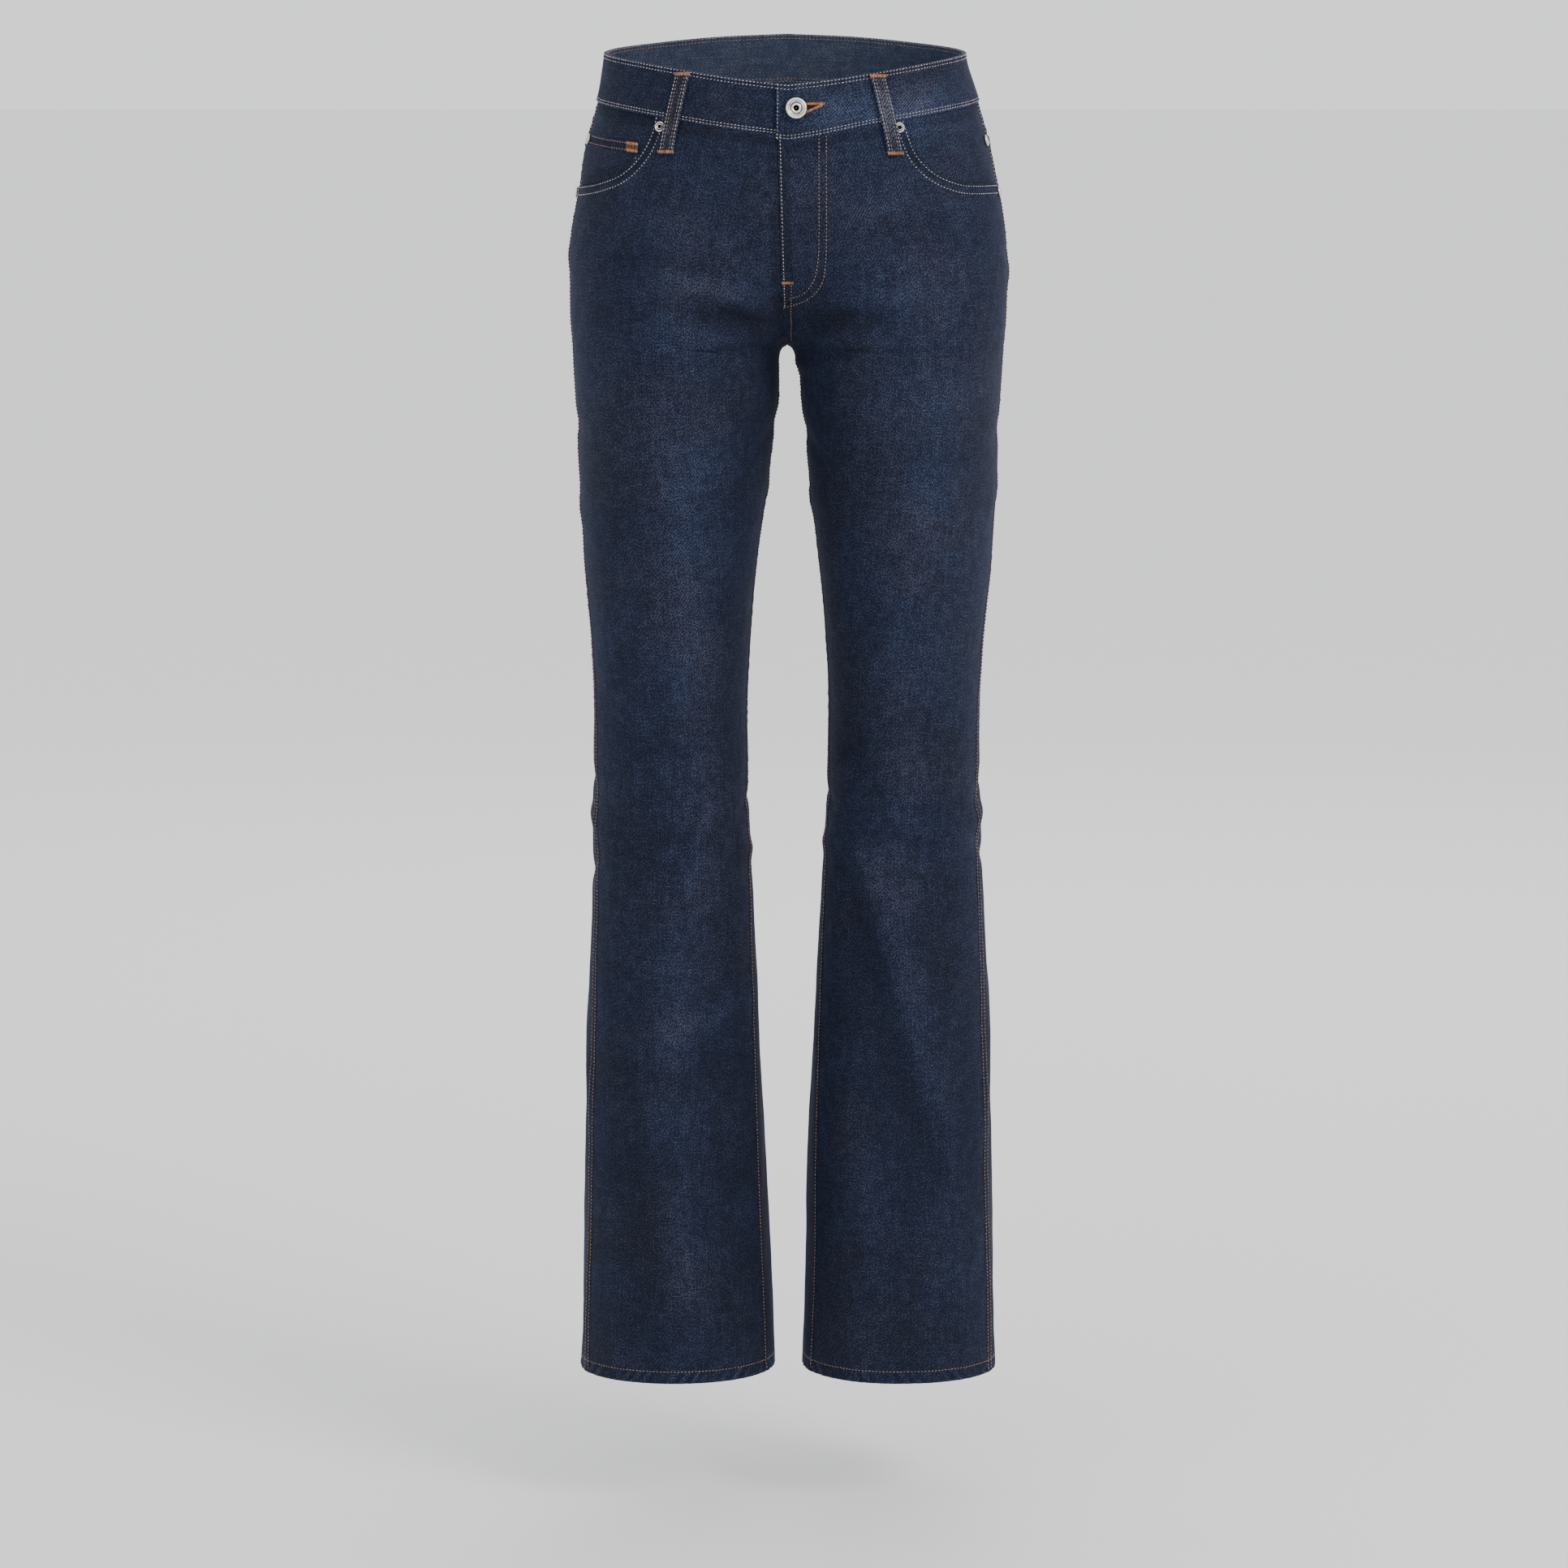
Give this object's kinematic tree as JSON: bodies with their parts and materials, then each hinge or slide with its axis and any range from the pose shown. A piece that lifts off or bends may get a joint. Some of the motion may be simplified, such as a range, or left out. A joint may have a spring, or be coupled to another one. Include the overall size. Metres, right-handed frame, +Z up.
{
  "type": "low-rise jeans",
  "caption": "Hollow low-rise jeans in worn form, with boot-cut legs, front and back pockets, belt loops, a shank button and rivets.",
  "frame": {"origin": "centre of the waist opening, level with the waistband's top edge at the centre front", "axes": "+Z up along the body, -Y to the front, +X to the wearer's left"},
  "size_m": [0.353, 0.2253, 1.0979],
  "materials": {
    "denim": "washed indigo twill, matt",
    "metal": "satin nickel"
  },
  "bodies": {
    "root": {"front_left": "denim", "front_right": "denim", "back_left": "denim", "back_right": "denim", "yoke_left": "denim", "yoke_right": "denim", "waistband": "denim", "facing_left": "denim", "facing_right": "denim", "coin_pocket": "denim", "fly_shield": "denim", "pocket_left": "denim", "pocket_right": "denim", "loop_front_left": "denim", "loop_front_right": "denim", "loop_side_left": "denim", "loop_side_right": "denim", "loop_back": "denim", "button": "metal", "rivet_mouth_left": "metal", "rivet_mouth_right": "metal", "rivet_side_left": "metal", "rivet_side_right": "metal", "rivet_low_left": "metal", "rivet_low_right": "metal"}
  },
  "joints": []
}
